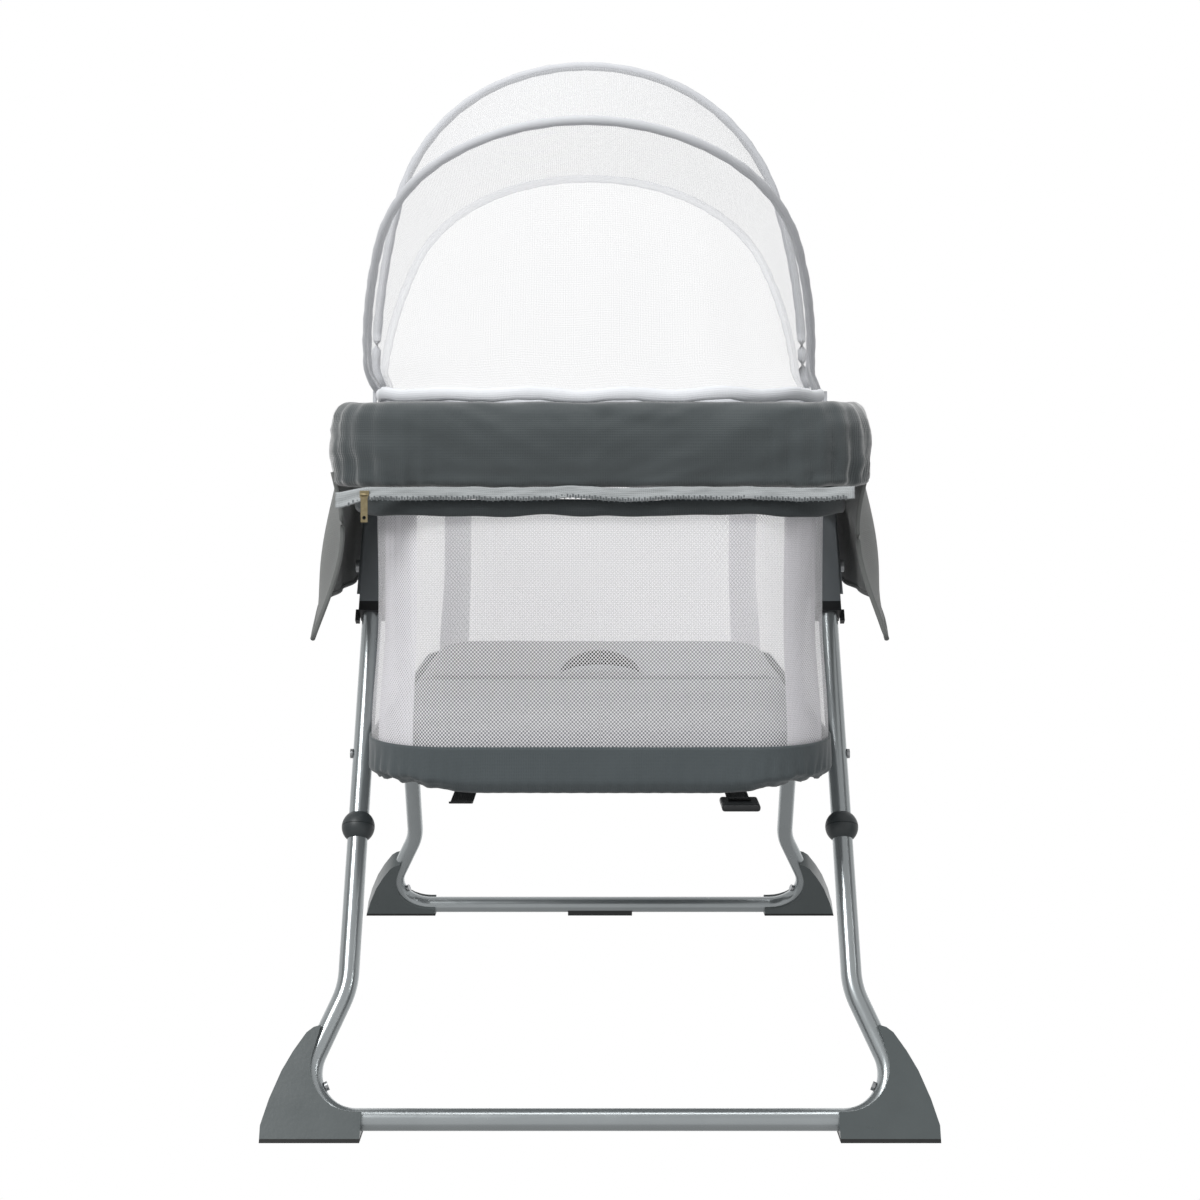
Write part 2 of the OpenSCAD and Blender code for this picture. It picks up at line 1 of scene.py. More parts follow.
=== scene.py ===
# A folding bassinet in its studio: the soft goods, the feet and the light are made here, and
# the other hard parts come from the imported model. Lengths are in metres, unless a name ends in
# mm. X runs across the bed, Y along it from the near end to the far one, and Z up.
import json
import math

import bmesh
import bpy
import numpy as np
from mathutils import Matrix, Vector, noise


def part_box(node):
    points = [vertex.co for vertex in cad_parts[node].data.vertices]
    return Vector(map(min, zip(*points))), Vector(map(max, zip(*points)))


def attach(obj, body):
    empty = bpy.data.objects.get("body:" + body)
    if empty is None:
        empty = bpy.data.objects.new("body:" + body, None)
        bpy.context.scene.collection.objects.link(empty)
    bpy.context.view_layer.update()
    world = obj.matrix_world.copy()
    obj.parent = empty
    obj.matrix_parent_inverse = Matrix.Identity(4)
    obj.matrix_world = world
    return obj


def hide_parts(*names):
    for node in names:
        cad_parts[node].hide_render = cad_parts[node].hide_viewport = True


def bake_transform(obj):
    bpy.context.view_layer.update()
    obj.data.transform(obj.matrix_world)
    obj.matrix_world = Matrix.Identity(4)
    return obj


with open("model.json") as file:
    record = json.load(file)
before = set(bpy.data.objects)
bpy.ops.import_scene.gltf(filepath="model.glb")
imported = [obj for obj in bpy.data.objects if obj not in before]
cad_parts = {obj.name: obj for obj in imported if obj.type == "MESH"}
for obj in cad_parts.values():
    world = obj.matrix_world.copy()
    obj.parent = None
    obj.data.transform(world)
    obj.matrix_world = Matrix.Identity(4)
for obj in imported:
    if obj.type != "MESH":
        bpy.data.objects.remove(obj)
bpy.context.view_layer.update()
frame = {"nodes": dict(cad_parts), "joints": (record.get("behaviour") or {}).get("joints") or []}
nodes = frame["nodes"]
MM = 0.001

# ---------------------------------------------------------------- places, from the frame
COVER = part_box("rim_cover")
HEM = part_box("hem_band")
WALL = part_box("mesh_wall")
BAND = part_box("base_band")
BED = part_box("mattress_near")
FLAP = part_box("side_flap_right")
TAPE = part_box("zip_tape")
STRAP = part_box("pull_strap")
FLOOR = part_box("base_floor")
PIVOT = next(Vector(j["pos_m"]) for j in frame["joints"] if j["name"] == "near_bow_fold")
RIM_TOP = COVER[1].z


def smooth(value, low, high):
    """0 below low, 1 above high, and an even turn between them."""
    t = min(max((value - low) / (high - low), 0.0), 1.0)
    return t * t * (3 - 2 * t)


def wobble(x, y, z, size, seed=0.0):
    """A soft random height from -1 to 1, with bumps about size across."""
    return noise.noise(Vector((x / size + seed, y / size, z / size)))


# ---------------------------------------------------------------- colours and materials
def shade(code):
    """An sRGB hex value as linear red, green, blue and alpha."""
    parts = [int(code[i:i + 2], 16) / 255 for i in (1, 3, 5)]
    return [c / 12.92 if c <= 0.04045 else ((c + 0.055) / 1.055) ** 2.4 for c in parts] + [1.0]


def put(tree, kind, links, **settings):
    """Adds one node, sets it up, and fills or links its inputs."""
    made = tree.nodes.new(kind)
    for name, value in settings.items():
        setattr(made, name, value)
    for socket, source in links.items():
        if isinstance(source, bpy.types.NodeSocket):
            tree.links.new(source, made.inputs[socket])
        else:
            made.inputs[socket].default_value = source
    return made


def surface(name, plain):
    """A material with one Principled shader, whose plain sockets are set."""
    made = bpy.data.materials.new(name)
    made.use_nodes = True
    tree = made.node_tree
    tree.nodes.clear()
    shader = put(tree, "ShaderNodeBsdfPrincipled", plain)
    put(tree, "ShaderNodeOutputMaterial", {"Surface": shader.outputs[0]})
    return made, tree, shader


def two_tone(tree, shader, dark, light, where, size_mm, detail=3.0):
    """Base colour that drifts between two close colours, in patches size_mm across."""
    patches = put(tree, "ShaderNodeTexNoise",
                  {"Vector": where, "Scale": 1000 / size_mm, "Detail": detail, "Roughness": 0.6})
    mix = put(tree, "ShaderNodeMix", {0: patches.outputs["Fac"], 6: shade(dark), 7: shade(light)},
              data_type="RGBA")
    tree.links.new(mix.outputs[2], shader.inputs["Base Color"])
    return patches


def powder_coated_steel(name, dark, light, roughness, metal):
    # Furniture tube in silver-grey polyester powder: a glossy skin with faint orange peel.
    made, tree, shader = surface(name, {
        "Metallic": metal, "Roughness": roughness, "Coat Weight": 0.35, "Coat Roughness": 0.12})
    where = put(tree, "ShaderNodeTexCoord", {}).outputs["Object"]
    two_tone(tree, shader, dark, light, where, 60)
    peel = put(tree, "ShaderNodeTexNoise", {"Vector": where, "Scale": 1000 / 5, "Detail": 1.0})
    bump = put(tree, "ShaderNodeBump", {
        "Height": peel.outputs["Fac"], "Distance": 0.03 * MM, "Strength": 0.25})
    tree.links.new(bump.outputs[0], shader.inputs["Normal"])
    wear = put(tree, "ShaderNodeTexNoise", {"Vector": where, "Scale": 1000 / 25, "Detail": 5.0})
    rough = put(tree, "ShaderNodeMapRange", {
        "Value": wear.outputs["Fac"], "To Min": roughness - 0.06, "To Max": roughness + 0.1})
    tree.links.new(rough.outputs[0], shader.inputs["Roughness"])
    return made


def moulded_plastic(name, dark, light, roughness, grain_mm):
    # Injection-moulded ABS or nylon: even colour, a satin face and a fine spark grain.
    made, tree, shader = surface(name, {"IOR": 1.53, "Roughness": roughness})
    where = put(tree, "ShaderNodeTexCoord", {}).outputs["Object"]
    two_tone(tree, shader, dark, light, where, 30)
    grain = put(tree, "ShaderNodeTexNoise",
                {"Vector": where, "Scale": 1000 / grain_mm, "Detail": 3.0})
    bump = put(tree, "ShaderNodeBump", {
        "Height": grain.outputs["Fac"], "Distance": 0.15 * MM, "Strength": 0.45})
    tree.links.new(bump.outputs[0], shader.inputs["Normal"])
    scuff = put(tree, "ShaderNodeTexNoise", {"Vector": where, "Scale": 1000 / 18, "Detail": 6.0})
    rough = put(tree, "ShaderNodeMapRange", {
        "Value": scuff.outputs["Fac"], "To Min": roughness - 0.08, "To Max": roughness + 0.1})
    tree.links.new(rough.outputs[0], shader.inputs["Roughness"])
    return made


def plated_metal(name, dark, light, roughness):
    # Zinc or brass plate: bright, with a slight cloud from handling.
    made, tree, shader = surface(name, {"Metallic": 1.0, "Roughness": roughness})
    where = put(tree, "ShaderNodeTexCoord", {}).outputs["Object"]
    cloud = two_tone(tree, shader, dark, light, where, 4)
    rough = put(tree, "ShaderNodeMapRange", {
        "Value": cloud.outputs["Fac"], "To Min": roughness - 0.08, "To Max": roughness + 0.12})
    tree.links.new(rough.outputs[0], shader.inputs["Roughness"])
    return made


def woven_cloth(name, dark, light, thread_mm, depth_mm, sheen, place="UV"):
    # Plain-woven polyester: a crossed thread grid, matt, with a soft sheen at the edges.
    # The threads are drawn about three times their real spacing, so that they show.
    made, tree, shader = surface(name, {
        "Roughness": 0.85, "Sheen Weight": sheen, "Sheen Roughness": 0.45, "IOR": 1.5})
    where = put(tree, "ShaderNodeTexCoord", {}).outputs[place]
    solid = put(tree, "ShaderNodeTexCoord", {}).outputs["Object"]
    patches = two_tone(tree, shader, dark, light, solid, 55, 6.0)
    # A wave texture repeats every pi / 10 of its coordinate.
    wave = {"Vector": where, "Scale": 2 * math.pi / (20 * thread_mm * MM), "Distortion": 0.4}
    warp = put(tree, "ShaderNodeTexWave", wave, bands_direction="X")
    weft = put(tree, "ShaderNodeTexWave", wave, bands_direction="Y")
    threads = put(tree, "ShaderNodeMath", {0: warp.outputs["Fac"], 1: weft.outputs["Fac"]},
                  operation="ADD")
    creases = put(tree, "ShaderNodeMath", {0: patches.outputs["Fac"], 1: 5.0},
                  operation="MULTIPLY")
    height = put(tree, "ShaderNodeMath", {0: threads.outputs[0], 1: creases.outputs[0]},
                 operation="ADD")
    bump = put(tree, "ShaderNodeBump", {
        "Height": height.outputs[0], "Distance": depth_mm * MM, "Strength": 0.6})
    tree.links.new(bump.outputs[0], shader.inputs["Normal"])
    return made


def holed_cloth(name, dark, light, pitch_mm, turn, hole, edge, least, most):
    # Knitted mesh or net: matt threads round a square grid of holes, whose radius and soft edge
    # are shares of the pitch. Alpha is least in a hole and most on the threads. The holes are
    # drawn about twice their real size, so that they show.
    made, tree, shader = surface(name, {"Roughness": 0.75, "Sheen Weight": 0.1, "IOR": 1.5})
    where = put(tree, "ShaderNodeTexCoord", {}).outputs["UV"]
    solid = put(tree, "ShaderNodeTexCoord", {}).outputs["Object"]
    two_tone(tree, shader, dark, light, solid, 80)
    placed = put(tree, "ShaderNodeMapping", {"Vector": where, "Rotation": (0, 0, turn)})
    away = put(tree, "ShaderNodeTexVoronoi", {
        "Vector": placed.outputs[0], "Scale": 1000 / pitch_mm, "Randomness": 0.0},
        voronoi_dimensions="2D").outputs["Distance"]
    open_to = put(tree, "ShaderNodeMapRange", {
        "Value": away, "From Min": hole - edge, "From Max": hole + edge,
        "To Min": least, "To Max": most})
    tree.links.new(open_to.outputs[0], shader.inputs["Alpha"])
    bump = put(tree, "ShaderNodeBump", {
        "Height": away, "Distance": 0.5 * MM, "Strength": 0.5})
    tree.links.new(bump.outputs[0], shader.inputs["Normal"])
    return made


DIAMOND, SQUARE = math.pi / 4, 0.0
TUBE = powder_coated_steel("silver_grey_powder_coat", "#A9AFB1", "#B9BFC1", 0.22, 0.7)
BRACKET = powder_coated_steel("bracket_grey_powder_coat", "#757A7E", "#858A8E", 0.34, 0.2)
FOOT_ABS = moulded_plastic("satin_grey_abs", "#535A5B", "#5D6465", 0.3, 3.0)
BALL_NYLON = moulded_plastic("dark_grey_nylon", "#34393B", "#414749", 0.42, 1.1)
BLACK_ABS = moulded_plastic("black_abs", "#161719", "#222426", 0.38, 1.2)
SOLE_RUBBER = moulded_plastic("black_rubber", "#1B1C1C", "#2A2B2B", 0.7, 1.0)
ZINC = plated_metal("zinc_plated_steel", "#9DA0A2", "#C4C6C8", 0.3)
BRASS = plated_metal("aged_brass_plate", "#8A7C5A", "#B9AC8C", 0.32)
CHARCOAL = woven_cloth("charcoal_polyester", "#3E4547", "#4D5456", 1.5, 0.18, 1.2)
HEM_CLOTH = woven_cloth("dark_hem_polyester", "#33383A", "#454B4D", 1.5, 0.2, 0.25)
BAND_CLOTH = woven_cloth("slate_polyester", "#4C5457", "#5A6265", 1.5, 0.18, 0.35)
FLAP_CLOTH = woven_cloth("grey_polyester", "#6C6E6D", "#7D807E", 1.6, 0.2, 0.3)
# Pale grey microfibre set darker than its own colour: partly painted shade for the inside of the
# basket. The fold piping uses it too.
BED_CLOTH = woven_cloth("grey_microfibre_with_painted_shade", "#84868B", "#92949A", 1.6, 0.15, 0.4, "Object")
SLEEVE = woven_cloth("white_bias_tape", "#CED0D4", "#DBDDE1", 1.3, 0.12, 0.2)
RUFFLE = woven_cloth("white_elastic_casing", "#E6E9EE", "#F4F6FA", 1.4, 0.15, 0.2)
ZIP_TAPE = woven_cloth("pale_zip_tape", "#9FA4A5", "#C2C6C8", 1.8, 0.25, 0.1)
WEBBING = woven_cloth("black_webbing", "#121314", "#222325", 1.9, 0.35, 0.15)
MESH = holed_cloth("white_knitted_mesh", "#F4F3F6", "#FBFAFC", 2.25, DIAMOND, 0.42, 0.07, 0.04, 1.0)
# A doubled seam strip of mesh, denser than the wall mesh. Its white is a touch greyer than the wall
# mesh's: painted shade for the corners, which the light meets at a slant.
SIDE_MESH = holed_cloth("white_seam_mesh_with_painted_shade", "#F0EFF4", "#FAF9FD", 2.25, DIAMOND,
                        0.24, 0.08, 0.4, 1.0)
NET = holed_cloth("sheer_white_net", "#F7F9FD", "#FEFEFF", 2.6, SQUARE, 0.42, 0.1, 0.22, 0.34)
SHEER_CASING = holed_cloth("sheer_net_casing", "#EEF0F4", "#F8F9FC", 1.6, SQUARE,
                           0.42, 0.1, 0.3, 0.4)
SKIRT_NET = holed_cloth("sheer_skirt_net", "#F7F9FD", "#FEFEFF", 2.6, SQUARE, 0.42, 0.1, 0.1, 0.17)
WHITE_CLIP = moulded_plastic("pale_clip_abs", "#C9CCD0", "#DADCE0", 0.4, 1.0)
ZIP_NYLON = moulded_plastic("grey_zip_nylon", "#5E6365", "#72777A", 0.4, 1.0)
HARDBOARD = moulded_plastic("hardboard", "#6B523A", "#866A4C", 0.75, 1.6)


def wear(node_names, material):
    """Gives CAD nodes their finish."""
    for name in node_names:
        held = nodes[name].data.materials
        held.clear()
        held.append(material)


ENDS, SIDES = ("near", "far"), ("left", "right")
CORNERS = [f"{end}_{side}" for end in ENDS for side in SIDES]
wear(["rim_tube", "floor_frame_near", "floor_frame_far"], TUBE)
wear([f"upper_leg_{c}" for c in CORNERS], TUBE)
wear(["side_bracket_left", "side_bracket_right"], BRACKET)
wear([f"ball_{half}_{c}" for half in ("cap", "socket") for c in CORNERS], BALL_NYLON)
wear(["leg_collars_left", "leg_collars_right", "bar_glide"], BLACK_ABS)
wear(["foot_soles_near", "foot_soles_far"], SOLE_RUBBER)
wear(["folding_pins_near", "folding_pins_far", "pivot_bolts_left", "pivot_bolts_right",
      "leg_rivets", "foot_screws_near", "foot_screws_far"], ZINC)
wear(["zip_slider", "zip_pull"], BRASS)
wear(["hoop_clips"], WHITE_CLIP)
wear(["board_near", "board_far"], HARDBOARD)


# ---------------------------------------------------------------- making meshes
BOX_FACES = ((3, 2, 1, 0), (4, 5, 6, 7), (0, 1, 5, 4), (1, 2, 6, 5), (2, 3, 7, 6), (3, 0, 4, 7))


def piece(name, points, faces, material, uvs=None, smooth_faces=True):
    """A mesh object from points and faces; uvs are metres, one for each face corner."""
    mesh = bpy.data.meshes.new(name)
    mesh.from_pydata([tuple(p) for p in points], [], faces)
    if uvs is not None:
        layer = mesh.uv_layers.new(name="UVMap")
        layer.data.foreach_set("uv", np.asarray(uvs, np.float32).ravel())
    mesh.materials.append(material)
    mesh.polygons.foreach_set("use_smooth", [smooth_faces] * len(mesh.polygons))
    mesh.update()
    made = bpy.data.objects.new(name, mesh)
    bpy.context.scene.collection.objects.link(made)
    return made


def sheet_of(name, across, along, place, material, size, loop_across=False, loop_along=False):
    """A grid of faces. place(u, v) gives each point, with u and v from 0 to 1, and size is
    the cloth's real width and length, which the weave follows."""
    columns = across if loop_across else across + 1
    rows = along if loop_along else along + 1
    points = [place(i / across, j / along) for j in range(rows) for i in range(columns)]
    faces, uvs = [], []
    for j in range(along):
        for i in range(across):
            corner = [(i, j), (i + 1, j), (i + 1, j + 1), (i, j + 1)]
            faces.append([(b % rows) * columns + a % columns for a, b in corner])
            uvs += [(a / across * size[0], b / along * size[1]) for a, b in corner]
    return piece(name, points, faces, material, uvs)


def apply_modifiers(made):
    """Bakes an object's modifiers into its mesh."""
    bpy.context.view_layer.update()
    held = made.evaluated_get(bpy.context.evaluated_depsgraph_get())
    mesh = bpy.data.meshes.new_from_object(held)
    made.modifiers.clear()
    made.data = mesh


def thicken(made, thickness):
    """Turns a sheet into cloth with two faces, half of its thickness to each side."""
    solid = made.modifiers.new("cloth", "SOLIDIFY")
    solid.thickness = thickness
    solid.offset = 0.0
    apply_modifiers(made)


def edit(made, change):
    """Runs change(held) on an object's mesh as a bmesh."""
    held = bmesh.new()
    held.from_mesh(made.data)
    change(held)
    held.to_mesh(made.data)
    held.free()


def tube_along(name, path, radius, material, sides=12, closed=False, flat=1.0, ripple=None):
    """A soft tube along points. flat stretches it upright, and ripple(k) scales ring k."""
    path = [Vector(p) for p in path]
    count = len(path)
    length = sum((path[k + 1] - path[k]).length for k in range(count - 1))
    frames = []
    for k in range(count):
        before = path[(k - 1) % count if closed else max(k - 1, 0)]
        after = path[(k + 1) % count if closed else min(k + 1, count - 1)]
        ahead = (after - before).normalized()
        side = ahead.cross(Vector((0, 0, 1)))
        side = side.normalized() if side.length > 0.05 else Vector((0, 1, 0))
        frames.append((side, side.cross(ahead).normalized()))

    def place(u, v):
        k = round(v * count) % count if closed else round(v * (count - 1))
        turn = 2 * math.pi * u
        side, up = frames[k]
        grow = ripple(k) if ripple else 1.0
        return path[k] + (side * math.cos(turn) + up * math.sin(turn) * flat) * radius * grow

    made = sheet_of(name, sides, count if closed else count - 1, place, material,
                    (2 * math.pi * radius, length), True, closed)
    if not closed:
        cap_ends(made)
    return made


def cap_ends(made):
    """Closes the open ends of a tube."""
    edit(made, lambda held: bmesh.ops.holes_fill(
        held, edges=[e for e in held.edges if e.is_boundary], sides=0))


def ring_point(share, half_x, half_y, corner):
    """A point and its outward normal on a rounded rectangle. share runs from 0 to 1, anticlockwise
    from the middle of the near end, and takes each straight and each corner in turn."""
    run_x, run_y, arc = half_x - corner, half_y - corner, corner * math.pi / 2
    total = 4 * (run_x + run_y + arc)
    left = (share % 1.0) * total
    heading, at = 0.0, Vector((0.0, -half_y))
    for kind, length in (
            ("go", run_x), ("turn", arc), ("go", 2 * run_y), ("turn", arc), ("go", 2 * run_x),
            ("turn", arc), ("go", 2 * run_y), ("turn", arc), ("go", run_x)):
        step = min(left, length)
        ahead = Vector((math.cos(heading), math.sin(heading)))
        if kind == "go":
            at = at + ahead * step
        else:
            centre = at + Vector((-ahead.y, ahead.x)) * corner
            heading += step / corner
            ahead = Vector((math.cos(heading), math.sin(heading)))
            at = centre + Vector((ahead.y, -ahead.x)) * corner
        left -= step
        if left <= 1e-9:
            break
    ahead = Vector((math.cos(heading), math.sin(heading)))
    return at, Vector((ahead.y, -ahead.x))


def ring_length(half_x, half_y, corner):
    """The length round a rounded rectangle."""
    return 4 * (half_x + half_y - 2 * corner) + 2 * math.pi * corner


def corner_share(at, half_x, half_y):
    """How near a point is to a corner of the basket, from 0 to 1."""
    away = math.hypot(half_x - abs(at.x), half_y - abs(at.y))
    return 1.0 - smooth(away, 0.02, 0.11)


# ---------------------------------------------------------------- feet
FOOT_EDGE_MM = 2.4


def softened(source, name, material, width_mm):
    """A copy of a CAD part with small rounded edges, as a moulding has."""
    made = piece(name, [v.co for v in nodes[source].data.vertices],
                 [list(p.vertices) for p in nodes[source].data.polygons], material)

    def clean(held):
        bmesh.ops.remove_doubles(held, verts=held.verts, dist=0.01 * MM)
        bmesh.ops.dissolve_limit(held, angle_limit=math.radians(2), verts=held.verts,
                                 edges=held.edges)

    edit(made, clean)
    edge = made.modifiers.new("edge", "BEVEL")
    edge.width = width_mm * MM
    edge.segments = 3
    edge.angle_limit = math.radians(35)
    edge.harden_normals = True
    apply_modifiers(made)
    return made


for end in ENDS:
    for side in SIDES:
        foot = softened(f"foot_{end}_{side}", f"moulded_foot_{end}_{side}", FOOT_ABS, FOOT_EDGE_MM)
        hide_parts(f"foot_{end}_{side}")
        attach(foot, f"{end}_stand")


# ---------------------------------------------------------------- padded rim cover
COVER_INSET, COVER_SWELL = 15.5 * MM, 15 * MM
COVER_HALF_X = (COVER[1].x - COVER[0].x) / 2 - COVER_INSET
COVER_HALF_Y = (COVER[1].y - COVER[0].y) / 2 - COVER_INSET
COVER_CORNER = 54.5 * MM
COVER_MID_Z = (COVER[0].z + COVER[1].z) / 2
COVER_HALF_Z = (COVER[1].z - COVER[0].z) / 2
COVER_RUN = ring_length(COVER_HALF_X, COVER_HALF_Y, COVER_CORNER)
GATHER_PITCH, GATHER_DEPTH = 17 * MM, 5.2 * MM
CREASE_DEPTH, DRAPE_DEPTH, LIP_DEPTH = 1.3 * MM, 3.2 * MM, 3 * MM


def bent(value, power):
    """A sine or cosine, squared off (power under 1) with its sign kept."""
    return math.copysign(abs(value) ** power, value)


def cover_point(u, v):
    """The padded cover: u runs round the rim, and v round its section from the outside up. It
    has gathers at the corners, creases all over, slanting drapes outside and a lip below."""
    at, out = ring_point(u, COVER_HALF_X, COVER_HALF_Y, COVER_CORNER)
    turn = 2 * math.pi * v
    bend = corner_share(at, COVER_HALF_X, COVER_HALF_Y)
    swell = COVER_SWELL + 1.6 * MM * wobble(at.x, at.y, turn * 0.03, 0.07, 3.0)
    push = swell * bent(math.cos(turn), 1.0 if math.sin(turn) > 0 else 0.75)
    high = (COVER_HALF_Z - 1.5 * MM) * bent(math.sin(turn), 0.8)
    run = u * COVER_RUN
    drift = 0.004 * wobble(at.x, at.y, high, 0.03, 8.0)
    gather = math.sin(2 * math.pi * (run + drift) / GATHER_PITCH)
    gather *= 0.7 + 0.6 * wobble(at.x, at.y, high, 0.03, 5.0)
    low = smooth(-high, -0.01, COVER_HALF_Z)
    push += GATHER_DEPTH * bend * gather * (0.55 + 0.45 * low)
    crease = wobble(at.x * 0.5, at.y * 0.5, high * 2.2, 0.022, 11.0)
    push += CREASE_DEPTH * crease + 0.5 * MM * wobble(at.x, at.y, high * 2, 0.012, 2.0)
    slope = at.x + at.y + (1.9 if at.x < 0 else -1.9) * high
    drape = wobble(slope, high * 0.5, 0, 0.05, 17.0) + 0.6 * wobble(slope, high, 0, 0.024, 19.0)
    push += DRAPE_DEPTH * drape * smooth(math.cos(turn), 0.0, 0.6)
    high += 1.8 * MM * wobble(at.x, at.y, 0, 0.035, 23.0) * smooth(abs(math.sin(turn)), 0.5, 1.0)
    lip = smooth(-high, COVER_HALF_Z - 13 * MM, COVER_HALF_Z - 5 * MM)
    push += LIP_DEPTH * lip * smooth(math.cos(turn), -0.2, 0.3)
    return Vector((at.x + out.x * push, at.y + out.y * push, COVER_MID_Z + high))


cover = sheet_of("rim_cover_cloth", 460, 48, cover_point, CHARCOAL, (COVER_RUN, 0.18), True, True)
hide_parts("rim_cover")
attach(cover, "basket")


# ---------------------------------------------------------------- rings of cloth
def ring_cloth(name, around, along, outline, place, material, height, loop_along=False):
    """A band of cloth round the basket. outline is half x, half y and corner, and place(u, v, at)
    gives how far out a point stands and its height."""

    def point(u, v):
        at, out = ring_point(u, *outline)
        push, z = place(u, v, at)
        return Vector((at.x + out.x * push, at.y + out.y * push, z))

    return sheet_of(name, around, along, point, material, (ring_length(*outline), height), True,
                    loop_along)


WALL_X, WALL_Y, WALL_CORNER = WALL[1].x - MM, WALL[1].y - MM, 79 * MM
WALL_OUTLINE = (WALL_X, WALL_Y, WALL_CORNER)
WALL_RUN = ring_length(*WALL_OUTLINE)
STRIP_WIDTH = 52 * MM
HEM_TOP, HEM_LOW, HEM_ROLL_R = COVER[0].z - 8 * MM, HEM[0].z - 0.5 * MM, 3.2 * MM
BAND_LIFT, BAND_ROLL = 7 * MM, 7 * MM


def wall_place(u, v, at):
    """The mesh hangs from the rim and pulls in at its waist."""
    z = BAND[1].z + 4 * MM + v * (HEM_LOW + 9 * MM - BAND[1].z)
    slack = -3 * MM - 7 * MM * smooth(v, 0.0, 0.5) + 1 * MM * smooth(v, 0.6, 1.0)
    ripple = 0.9 * MM * wobble(at.x, at.y, z * 0.35, 0.07, 21.0)
    bend = corner_share(at, WALL_X, WALL_Y)
    pleat = 1.2 * MM * bend * math.sin(u * 900) * smooth(v, 0.55, 1.0)
    return slack * (0.75 + 0.25 * bend) + ripple + pleat, z


wall = ring_cloth("mesh_wall_cloth", 320, 36, WALL_OUTLINE, wall_place, MESH, 0.21)
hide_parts("mesh_wall")
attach(wall, "basket")

# A doubled strip of mesh runs down the middle of each corner.
CORNER_RUN = WALL_X - WALL_CORNER + WALL_CORNER * math.pi / 4
END_SHARE = CORNER_RUN / WALL_RUN
SEAMS = {"near_right": END_SHARE, "far_right": 0.5 - END_SHARE, "far_left": 0.5 + END_SHARE,
         "near_left": 1 - END_SHARE}
STRIP_BACK = 1.5 * MM
for name, share in SEAMS.items():
    def strip_point(u, v, share=share):
        at, out = ring_point(share + (u - 0.5) * STRIP_WIDTH / WALL_RUN, *WALL_OUTLINE)
        push, z = wall_place(share, v, at)
        return Vector((at.x + out.x * (push - STRIP_BACK), at.y + out.y * (push - STRIP_BACK), z))

    strip = sheet_of(f"corner_seam_{name}", 12, 36, strip_point, SIDE_MESH, (STRIP_WIDTH, 0.21))
    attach(strip, "basket")


def hem_place(u, v, at):
    """The rolled hem under the rim, which waves a little and closes on itself."""
    turn = 2 * math.pi * v
    mid = (HEM_TOP + HEM_LOW) / 2 + 2.6 * MM * wobble(at.x, at.y, 0, 0.05, 31.0)
    tall = (HEM_TOP - HEM_LOW) / 2 + 1.4 * MM * wobble(at.x, at.y, 0, 0.03, 35.0)
    push = HEM_ROLL_R * math.cos(turn) + 1.5 * MM * wobble(at.x, at.y, 0, 0.04, 33.0)
    return push, mid + tall * math.sin(turn)


HEM_OUTLINE = (WALL_X + 8 * MM, WALL_Y - 1 * MM, WALL_CORNER - 12 * MM)
hem = ring_cloth("hem_roll", 360, 14, HEM_OUTLINE, hem_place, HEM_CLOTH, 0.036, True)
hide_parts("hem_band")
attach(hem, "basket")


def band_place(u, v, at):
    """The base band, gathered by the elastic in its lower edge and lifted at its corners."""
    bend = corner_share(at, WALL_X, WALL_Y)
    low = 1 - v
    z = BAND[0].z - 1 * MM + v * (BAND[1].z - BAND[0].z + 6 * MM)
    z += BAND_LIFT * bend * low + 1.6 * MM * math.sin(u * 410) * low * bend
    drift = 3 * wobble(at.x, at.y, z, 0.03, 43.0)
    gather = (0.5 + 1.1 * bend) * MM * math.sin(u * 1100 + drift) * low
    roll = -BAND_ROLL * smooth(low, 0.75, 1.0) * (1 + bend)
    return -1 * MM + gather + roll + 0.8 * MM * wobble(at.x, at.y, z, 0.05, 47.0), z


band = ring_cloth("base_band_cloth", 620, 14, WALL_OUTLINE, band_place, BAND_CLOTH, 0.05)
thicken(band, 1.6 * MM)
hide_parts("base_band")
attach(band, "basket")


# ---------------------------------------------------------------- zip
TAPE_LENGTH = TAPE[1].x - TAPE[0].x
TOOTH_PITCH = 2.4 * MM


def tape_point(u, v):
    """The tape waves along the end of the rim, and flares down and out at its open left end."""
    x = TAPE[0].x + TAPE_LENGTH * u
    flare = 1 - smooth(u, 0.0, 0.05)
    z = COVER[0].z - 9 * MM + 11 * MM * v
    wave = 2.6 * wobble(x, 0, 0, 0.05, 51.0) + 1.3 * wobble(x, 0, 0, 0.017, 57.0)
    z += wave * MM * (1 - 0.4 * v)
    z -= 7 * MM * flare * (1 - 0.4 * v)
    y = TAPE[0].y - 0.5 * MM + 1.6 * MM * wobble(x, 0, v, 0.02, 53.0)
    y -= 3 * MM * flare + 2 * MM * (1 - v)
    return Vector((x - 8 * MM * flare, y, z))


tape = sheet_of("zip_tape_cloth", 160, 6, tape_point, ZIP_TAPE, (0.45, 0.013))
thicken(tape, 0.9 * MM)
teeth_points, teeth_faces = [], []
for k in range(int(TAPE_LENGTH * 0.97 / TOOTH_PITCH)):
    spot = tape_point(0.02 + k * TOOTH_PITCH / TAPE_LENGTH, 0.12)
    first = len(teeth_points)
    for dz in (-1.6, 1.6):
        for dx, dy in ((-0.6, -1.3), (0.6, -1.3), (0.6, 0.4), (-0.6, 0.4)):
            teeth_points.append(spot + Vector((dx, dy, dz + (0.5 if k % 2 else -0.5))) * MM)
    teeth_faces += [[first + c for c in quad] for quad in BOX_FACES]
teeth = piece("zip_teeth", teeth_points, teeth_faces, ZIP_NYLON, smooth_faces=False)
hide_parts("zip_tape")
for made in (tape, teeth):
    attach(made, "basket")


# ---------------------------------------------------------------- side flaps
FLAP_OUT, FLAP_BELLY = 244 * MM, 19 * MM
FLAP_ACROSS, FLAP_DOWN = 90, 22


